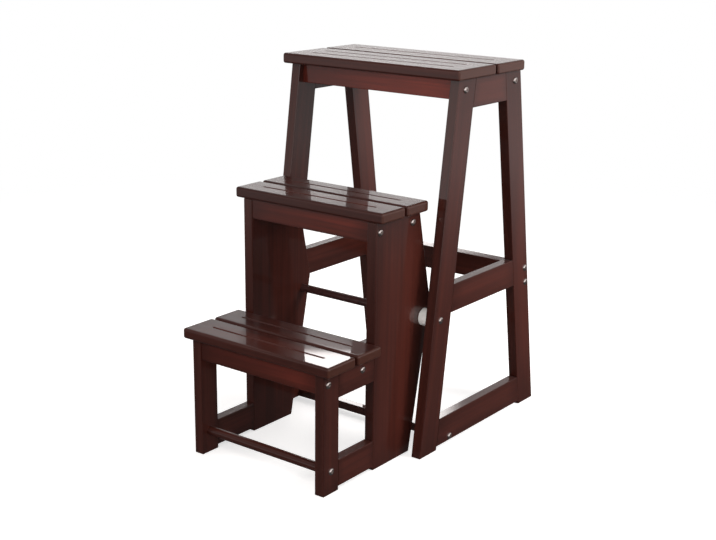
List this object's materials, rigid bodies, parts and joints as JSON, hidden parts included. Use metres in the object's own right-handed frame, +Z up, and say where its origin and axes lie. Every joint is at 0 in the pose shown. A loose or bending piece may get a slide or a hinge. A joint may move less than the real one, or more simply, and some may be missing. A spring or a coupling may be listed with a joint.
{
  "type": "folding step stool",
  "caption": "Wooden A-frame stool with a slatted seat and a hinged unit of lower steps that swings up and over into it.",
  "frame": {"origin": "on the floor, in the middle of the width and of the depth with the steps out", "axes": "+X to the right along the seat as a climber faces it, +Y to the back, +Z up"},
  "size_m": [0.371, 0.596, 0.65],
  "materials": {
    "lacquered_wood": "dark red-brown mahogany stain under gloss lacquer",
    "rod_paint": "dark brown gloss paint on steel",
    "bolt_chrome": "bright plated steel",
    "nylon": "plain white nylon"
  },
  "bodies": {
    "frame_stool": {"left_bottom_rail": "lacquered_wood", "left_front_leg": "lacquered_wood", "left_lower_bar_bolt": "bolt_chrome", "left_mid_rail": "lacquered_wood", "left_pivot_bolt": "bolt_chrome", "left_rear_leg": "lacquered_wood", "left_seat_front_bolt": "bolt_chrome", "left_seat_rear_bolt": "bolt_chrome", "left_spacer": "nylon", "left_stretcher_lower_bolt": "bolt_chrome", "left_stretcher_upper_bolt": "bolt_chrome", "left_top_rail": "lacquered_wood", "lower_bar": "lacquered_wood", "pivot_rod": "rod_paint", "rear_stretcher": "lacquered_wood", "right_bottom_rail": "lacquered_wood", "right_front_leg": "lacquered_wood", "right_lower_bar_bolt": "bolt_chrome", "right_mid_rail": "lacquered_wood", "right_pivot_bolt": "bolt_chrome", "right_rear_leg": "lacquered_wood", "right_seat_front_bolt": "bolt_chrome", "right_seat_rear_bolt": "bolt_chrome", "right_spacer": "nylon", "right_stretcher_lower_bolt": "bolt_chrome", "right_stretcher_upper_bolt": "bolt_chrome", "right_top_rail": "lacquered_wood", "seat_front_apron": "lacquered_wood", "seat_front_board": "lacquered_wood", "seat_rear_apron": "lacquered_wood", "seat_rear_board": "lacquered_wood"},
    "step_unit": {"first_front_apron": "lacquered_wood", "first_front_board": "lacquered_wood", "first_rear_apron": "lacquered_wood", "first_rear_board": "lacquered_wood", "left_first_front_bolt": "bolt_chrome", "left_first_rear_bolt": "bolt_chrome", "left_lower_rail": "lacquered_wood", "left_panel": "lacquered_wood", "left_second_front_bolt": "bolt_chrome", "left_second_rear_bolt": "bolt_chrome", "left_step_leg": "lacquered_wood", "left_step_stretcher_bolt": "bolt_chrome", "left_upper_rail": "lacquered_wood", "right_first_front_bolt": "bolt_chrome", "right_first_rear_bolt": "bolt_chrome", "right_lower_rail": "lacquered_wood", "right_panel": "lacquered_wood", "right_second_front_bolt": "bolt_chrome", "right_second_rear_bolt": "bolt_chrome", "right_step_leg": "lacquered_wood", "right_step_stretcher_bolt": "bolt_chrome", "right_upper_rail": "lacquered_wood", "second_front_apron": "lacquered_wood", "second_front_board": "lacquered_wood", "second_rear_apron": "lacquered_wood", "second_rear_board": "lacquered_wood", "step_stretcher": "lacquered_wood"}
  },
  "joints": [
    {"name": "step_fold", "type": "hinge", "parent": "frame_stool", "child": "step_unit", "pos_m": [0, -0.0255, 0.235], "axis": [-1, 0, 0], "range_deg": [0, 173.5]}
  ]
}
